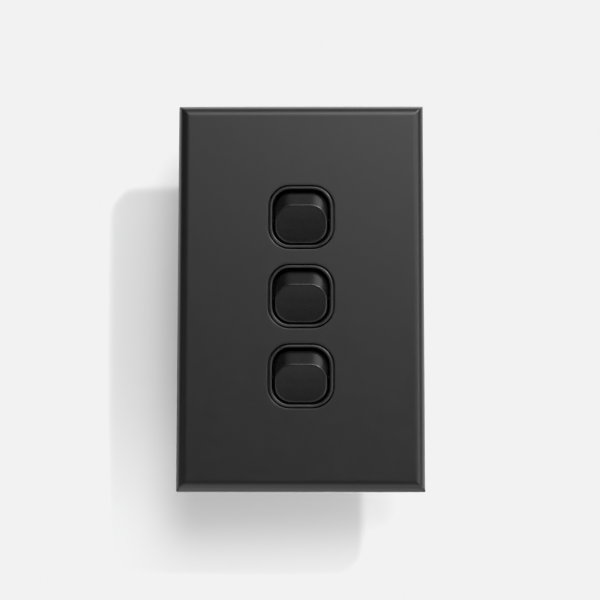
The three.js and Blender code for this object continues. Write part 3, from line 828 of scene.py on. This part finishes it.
def common_terminal_mesh():
    """The terminal that feeds the contact arm through the saddle it rocks in."""
    body, bores = barrel_parts(1, 1)
    foot_y = (SADDLE["foot_y"], SADDLE["foot_y"] + STRIP["thickness"])
    foot_x = SADDLE["x"] + SADDLE["width"]
    foot_z = (-SADDLE["depth"], SADDLE["depth"])
    foot = box((-foot_x, foot_x), foot_y, foot_z, edge=STRIP_EDGE)
    strap = box(
        (STRAP_X, RISER["outer_x"]),
        (foot_y[0] + INSET, foot_y[1] - INSET),
        (2 * INSET - SADDLE["depth"], CONTACT["z"] + STRIP["width"] / 2),
        edge=STRIP_EDGE,
    )
    cheeks = [saddle_cheek(side) for side in BOTH_SIDES]
    return carve([*body, riser(1, 1, SADDLE["foot_y"] + INSET), strap, foot, *cheeks], bores)


def loop_terminal_mesh():
    """A spare terminal with no contact, for joining wires on."""
    body, bores = barrel_parts(1, -1)
    return carve(body, bores)


def clamp_screw_mesh(side_x, side_z):
    """A slotted cheese-head screw with a threaded shank, along X."""
    z = side_z * BARREL["z"]
    end, head_x, tip = CLAMP["end_x"], CLAMP["head_x"], CLAMP["tip_x"]
    profile = [
        (CLAMP["head"] - 0.3, end),
        (CLAMP["head"] - 0.1, end - 0.08),
        (CLAMP["head"], end - 0.3),
        (CLAMP["head"], head_x + 0.1),
        (CLAMP["head"] - 0.1, head_x),
        (CLAMP["radius"], head_x),
    ]
    along, pitch = head_x - 0.2, CLAMP_THREAD["pitch"]
    while along > tip + pitch:
        profile.append((CLAMP["radius"], along))
        profile.append((CLAMP["radius"] - CLAMP_THREAD["depth"], along - pitch / 2))
        along -= pitch
    profile += [(CLAMP["radius"], along), (CLAMP["radius"] - CLAMP_THREAD["tip"], tip)]
    profile = [(radius, side_x * x) for radius, x in profile]
    screw = turned(profile, axis="X", centre=(0, CLAMP["y"], z), sides=32)
    slot = box(
        sorted((side_x * (end - CLAMP_SLOT["depth"]), side_x * (end + 1))),
        (CLAMP["y"] - 3, CLAMP["y"] + 3),
        (z - CLAMP_SLOT["half_width"], z + CLAMP_SLOT["half_width"]),
        edge=0,
    )
    return carve([screw], [slot])


# ---------------------------------------------------------------- materials


class Nodes:
    """A short way to add nodes to a material and join them."""

    def __init__(self, name):
        self.material = bpy.data.materials.new(name)
        self.material.use_nodes = True
        self.tree = self.material.node_tree
        self.shader = self.tree.nodes["Principled BSDF"]
        self.coordinates = self.add("ShaderNodeTexCoord").outputs["Object"]

    def add(self, kind, links=None, **settings):
        """A new node; links gives inputs their sockets or values."""
        node = self.tree.nodes.new(kind)
        for key, value in settings.items():
            setattr(node, key, value)
        for key, value in (links or {}).items():
            if isinstance(value, bpy.types.NodeSocket):
                self.tree.links.new(value, node.inputs[key])
            else:
                node.inputs[key].default_value = value
        return node

    def link(self, socket, key):
        """Joins a socket to an input of the material's shader."""
        self.tree.links.new(socket, self.shader.inputs[key])

    def noise(self, size, detail=3.0, stretch=(1, 1, 1)):
        """Noise whose features are about size millimetres across."""
        scaled = self.add(
            "ShaderNodeMapping", {"Vector": self.coordinates, "Scale": stretch}
        ).outputs["Vector"]
        noise = self.add(
            "ShaderNodeTexNoise", {"Vector": scaled, "Scale": 1 / (size * MM), "Detail": detail}
        )
        return noise.outputs["Fac"]

    def spread(self, value, low, high, start=0.3, end=0.7):
        """Maps a value from start to end on to low to high."""
        node = self.add(
            "ShaderNodeMapRange",
            {"Value": value, "From Min": start, "From Max": end, "To Min": low, "To Max": high},
        )
        return node.outputs["Result"]

    def edges(self, start=0.51, end=0.56):
        """1 along outward edges, where handling wears a surface."""
        pointiness = self.add("ShaderNodeNewGeometry").outputs["Pointiness"]
        return self.spread(pointiness, 0, 1, start, end)

    def mix(self, factor, first, second):
        """A blend of two colours, each a socket or a tuple."""
        node = self.add("ShaderNodeMix", {"Factor": factor}, data_type="RGBA")
        for key, value in ((6, first), (7, second)):
            if isinstance(value, bpy.types.NodeSocket):
                self.tree.links.new(value, node.inputs[key])
            else:
                node.inputs[key].default_value = (*value, 1)
        return node.outputs[2]

    def product(self, first, second):
        node = self.add("ShaderNodeMath", {0: first, 1: second}, operation="MULTIPLY")
        return node.outputs[0]

    def plus(self, first, second):
        node = self.add("ShaderNodeMath", {0: first, 1: second}, operation="ADD")
        return node.outputs[0]

    def bump(self, height, distance, strength=1.0, normal=None):
        links = {"Height": height, "Distance": distance * MM, "Strength": strength}
        if normal is not None:
            links["Normal"] = normal
        return self.add("ShaderNodeBump", links).outputs["Normal"]


def scaled_colour(colour, factor):
    return tuple(channel * factor for channel in colour)


def plastic(name, colour, roughness, grain, depth):
    """Moulded plastic: a fine spark-eroded grain, faint mottling and edges rubbed smoother."""
    nodes = Nodes(name)
    mottle = nodes.noise(5.0, detail=2)
    grit = nodes.noise(grain, detail=2)
    edges = nodes.edges()
    body = nodes.mix(
        nodes.spread(mottle, 0, 1), scaled_colour(colour, 0.9), scaled_colour(colour, 1.1)
    )
    speckled = nodes.mix(nodes.spread(grit, 0, 0.5), body, scaled_colour(colour, 1.25))
    nodes.link(nodes.mix(edges, speckled, scaled_colour(colour, 1.5)), "Base Color")
    rough = nodes.spread(nodes.noise(1.6), roughness - 0.02, roughness + 0.02)
    nodes.link(nodes.plus(rough, nodes.product(edges, -0.05)), "Roughness")
    wave = nodes.bump(mottle, 0.002, 0.2)
    nodes.link(nodes.bump(grit, depth, 0.6, wave), "Normal")
    return nodes.material


def metal(name, colour, tarnish, roughness, lines=(1, 1, 1)):
    """Plated or drawn metal: fine tool lines, patches of tarnish and bright rubbed edges."""
    nodes = Nodes(name)
    patches = nodes.spread(nodes.noise(2.4, detail=5), 0, 1, 0.38, 0.68)
    edges = nodes.edges(0.52, 0.6)
    marks = nodes.noise(0.12, stretch=lines)
    body = nodes.mix(nodes.product(patches, 0.6), colour, tarnish)
    nodes.link(nodes.mix(edges, body, scaled_colour(colour, 1.25)), "Base Color")
    nodes.shader.inputs["Metallic"].default_value = 1
    rough = nodes.plus(
        nodes.spread(marks, roughness - 0.06, roughness + 0.08), nodes.product(patches, 0.1)
    )
    nodes.link(rough, "Roughness")
    nodes.link(nodes.bump(marks, 0.006, 0.5), "Normal")
    return nodes.material


def nylon(name, colour):
    """Cloudy natural nylon that light gets a little way into."""
    nodes = Nodes(name)
    cloud = nodes.noise(1.2, detail=3)
    tone = nodes.mix(nodes.spread(cloud, 0, 1), colour, scaled_colour(colour, 0.88))
    nodes.link(tone, "Base Color")
    nodes.link(nodes.spread(cloud, 0.35, 0.5), "Roughness")
    nodes.link(nodes.bump(nodes.noise(0.15), 0.004, 0.5), "Normal")
    nodes.shader.inputs["Subsurface Weight"].default_value = 0.15
    nodes.shader.inputs["Subsurface Scale"].default_value = 0.5 * MM
    return nodes.material


def make_materials():
    return {
        "cover_black": plastic("cover_black", (0.0075, 0.0075, 0.0078), 0.33, 0.15, 0.006),
        "bezel_black": plastic("bezel_black", (0.007, 0.007, 0.0072), 0.33, 0.12, 0.004),
        "rocker_black": plastic("rocker_black", (0.005, 0.005, 0.0052), 0.28, 0.12, 0.0015),
        "grid_black": plastic("grid_black", (0.02, 0.02, 0.021), 0.55, 0.2, 0.02),
        "housing_black": plastic("housing_black", (0.024, 0.024, 0.025), 0.5, 0.22, 0.02),
        "plunger_nylon": nylon("plunger_nylon", (0.68, 0.66, 0.58)),
        "spring_steel": metal("spring_steel", (0.4, 0.41, 0.42), (0.28, 0.28, 0.28), 0.3),
        "screw_steel": metal("screw_steel", (0.4, 0.41, 0.42), (0.28, 0.28, 0.27), 0.34),
        "contact_copper": metal("contact_copper", (0.5, 0.26, 0.15), (0.32, 0.16, 0.09), 0.32),
        "terminal_brass": metal(
            "terminal_brass", (0.5, 0.38, 0.18), (0.33, 0.24, 0.11), 0.3, (0.05, 1, 0.05)
        ),
    }


# ---------------------------------------------------------------- assembly


def build_switch(materials):
    """Places the four pieces there are one of and a set of fourteen for each switch."""
    single = [
        ("cover_plate", cover_mesh(), "cover", "cover_black"),
        ("grid_plate", grid_mesh(), "base", "grid_black"),
        ("mounting_screw_top", mounting_screw_mesh(1), "base", "screw_steel"),
        ("mounting_screw_bottom", mounting_screw_mesh(-1), "base", "screw_steel"),
    ]
    for node, mesh, body, slot in single:
        place(mesh, node, body, materials[slot])
    shared = [
        ("bezel", bezel_mesh(), "base", "bezel_black"),
        ("housing", housing_mesh(), "base", "housing_black"),
        ("rocker", rocker_mesh(), "rocker", "rocker_black"),
        ("plunger", plunger_mesh(), "plunger", "plunger_nylon"),
        ("plunger_spring", spring_mesh(), "rocker", "spring_steel"),
        ("contact_arm", contact_arm_mesh(), "contact_arm", "contact_copper"),
        ("terminal_1", switched_terminal_mesh(1), "base", "terminal_brass"),
        ("terminal_2", switched_terminal_mesh(-1), "base", "terminal_brass"),
        ("terminal_common", common_terminal_mesh(), "base", "terminal_brass"),
        ("terminal_loop", loop_terminal_mesh(), "base", "terminal_brass"),
        ("terminal_1_screw", clamp_screw_mesh(-1, 1), "base", "screw_steel"),
        ("terminal_2_screw", clamp_screw_mesh(-1, -1), "base", "screw_steel"),
        ("terminal_common_screw", clamp_screw_mesh(1, 1), "base", "screw_steel"),
        ("terminal_loop_screw", clamp_screw_mesh(1, -1), "base", "screw_steel"),
    ]
    for number, z in SWITCH_Z.items():
        for part, mesh, body, slot in shared:
            rides_on = body if body == "base" else f"{body}_{number}"
            place(mesh, f"{part}_{number}", rides_on, materials[slot], z)


# ---------------------------------------------------------------- stage


def direction(azimuth, elevation):
    """A unit vector towards an azimuth (0 is -Y, 90 is +X) and elevation, in degrees."""
    a, e = math.radians(azimuth), math.radians(elevation)
    return Vector((math.sin(a) * math.cos(e), -math.cos(a) * math.cos(e), math.sin(e)))


def make_camera():
    """The camera, in front of the switch and a little below it."""
    data = bpy.data.cameras.new("camera")
    data.sensor_width = SENSOR
    data.lens = LENS
    camera = bpy.data.objects.new("camera", data)
    bpy.context.scene.collection.objects.link(camera)
    towards = direction(CAMERA["azimuth"], CAMERA["elevation"])
    place_at = Vector(CAMERA_TARGET) * MM + towards * CAMERA["distance"] * MM
    aim = (-towards).to_track_quat("-Z", "Y").to_matrix().to_4x4()
    roll = Matrix.Rotation(math.radians(CAMERA["roll"]), 4, "Z")
    camera.matrix_world = Matrix.Translation(place_at) @ aim @ roll
    data.clip_start, data.clip_end = 0.01, 30
    bpy.context.scene.camera = camera


def make_sun(name, azimuth, elevation, spread, strength):
    """A sun that shines from a direction; spread is its angular size in degrees."""
    data = bpy.data.lights.new(name, "SUN")
    data.angle = math.radians(spread)
    data.energy = strength
    light = bpy.data.objects.new(name, data)
    bpy.context.scene.collection.objects.link(light)
    light.rotation_mode = "QUATERNION"
    light.rotation_quaternion = direction(azimuth, elevation).to_track_quat("Z", "Y")


def floor_material():
    """Pale paint that glows faintly; from behind the floor is clear."""
    material = bpy.data.materials.new("floor_white")
    material.use_nodes = True
    tree = material.node_tree
    tree.nodes.remove(tree.nodes["Principled BSDF"])
    paint = tree.nodes.new("ShaderNodeBsdfDiffuse")
    paint.inputs["Color"].default_value = (FLOOR_TONE, FLOOR_TONE, FLOOR_TONE, 1)
    # painted light: a faint even glow added to the floor's paint, which lifts the switch's shadow
    glow = tree.nodes.new("ShaderNodeEmission")
    glow.inputs["Strength"].default_value = FLOOR_GLOW
    lit = tree.nodes.new("ShaderNodeAddShader")
    tree.links.new(paint.outputs[0], lit.inputs[0])
    tree.links.new(glow.outputs[0], lit.inputs[1])
    clear = tree.nodes.new("ShaderNodeBsdfTransparent")
    which_side = tree.nodes.new("ShaderNodeNewGeometry").outputs["Backfacing"]
    mix = tree.nodes.new("ShaderNodeMixShader")
    tree.links.new(which_side, mix.inputs[0])
    tree.links.new(lit.outputs[0], mix.inputs[1])
    tree.links.new(clear.outputs[0], mix.inputs[2])
    tree.links.new(mix.outputs[0], tree.nodes["Material Output"].inputs["Surface"])
    return material


def make_floor():
    """A pale plane behind the switch, seen only from its front and only by the camera."""
    half = FLOOR_SIZE / 2 * MM
    bm = bmesh.new()
    corners = [(-half, -half), (half, -half), (half, half), (-half, half)]
    bm.faces.new([bm.verts.new((x, FLOOR_Y * MM, z)) for x, z in corners])
    bm.normal_update()
    mesh = bpy.data.meshes.new("floor")
    bm.to_mesh(mesh)
    bm.free()
    mesh.materials.append(floor_material())
    floor = bpy.data.objects.new("floor", mesh)
    bpy.context.scene.collection.objects.link(floor)
    floor.visible_shadow = False
    floor.visible_diffuse = False
    floor.visible_glossy = False
    floor.visible_transmission = False


def make_world(lights):
    """Soft lights all round on a dark room; the camera itself sees only a bright backdrop."""
    world = bpy.data.worlds.new("studio")
    world.use_nodes = True
    tree = world.node_tree
    towards = tree.nodes.new("ShaderNodeTexCoord").outputs["Generated"]
    total = None
    for azimuth, elevation, spread, strength in lights:
        along = tree.nodes.new("ShaderNodeVectorMath")
        along.operation = "DOT_PRODUCT"
        tree.links.new(towards, along.inputs[0])
        along.inputs[1].default_value = direction(azimuth, elevation)
        fade = tree.nodes.new("ShaderNodeMapRange")
        fade.interpolation_type = "SMOOTHSTEP"
        tree.links.new(along.outputs["Value"], fade.inputs["Value"])
        fade.inputs["From Min"].default_value = math.cos(math.radians(spread))
        fade.inputs["To Max"].default_value = strength
        if total is None:
            total = fade.outputs[0]
            continue
        add = tree.nodes.new("ShaderNodeMath")
        tree.links.new(total, add.inputs[0])
        tree.links.new(fade.outputs[0], add.inputs[1])
        total = add.outputs[0]
    seen = tree.nodes.new("ShaderNodeMix")
    tree.links.new(tree.nodes.new("ShaderNodeLightPath").outputs["Is Camera Ray"], seen.inputs[0])
    tree.links.new(total, seen.inputs[2])
    seen.inputs[3].default_value = 1
    tree.links.new(seen.outputs[0], tree.nodes["Background"].inputs["Strength"])
    tree.nodes["Background"].inputs["Color"].default_value = (1, 1, 1, 1)
    bpy.context.scene.world = world


def limit_whites():
    """Shows all that is brighter than 1 as the backdrop's tone, as in a bright studio picture."""
    view = bpy.context.scene.view_settings
    view.view_transform = "Standard"
    view.look = "None"
    view.use_curve_mapping = True
    view.curve_mapping.extend = "HORIZONTAL"
    points = view.curve_mapping.curves[3].points
    for point in points:
        point.handle_type = "VECTOR"
    points[-1].location = (1, BACKDROP_TONE)
    view.curve_mapping.update()


def make_stage():
    """Everything round the switch: camera, floor, lights and how whites are shown."""
    make_camera()
    make_floor()
    make_world(SOFT_LIGHTS)
    make_sun("key", **KEY)
    limit_whites()


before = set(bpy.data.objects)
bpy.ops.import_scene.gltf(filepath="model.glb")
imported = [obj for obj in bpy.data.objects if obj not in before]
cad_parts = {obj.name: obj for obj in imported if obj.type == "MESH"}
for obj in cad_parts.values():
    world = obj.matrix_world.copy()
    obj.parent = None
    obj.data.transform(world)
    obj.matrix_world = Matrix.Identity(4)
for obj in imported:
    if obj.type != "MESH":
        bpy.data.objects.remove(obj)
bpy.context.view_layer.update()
build_switch(make_materials())
make_stage()
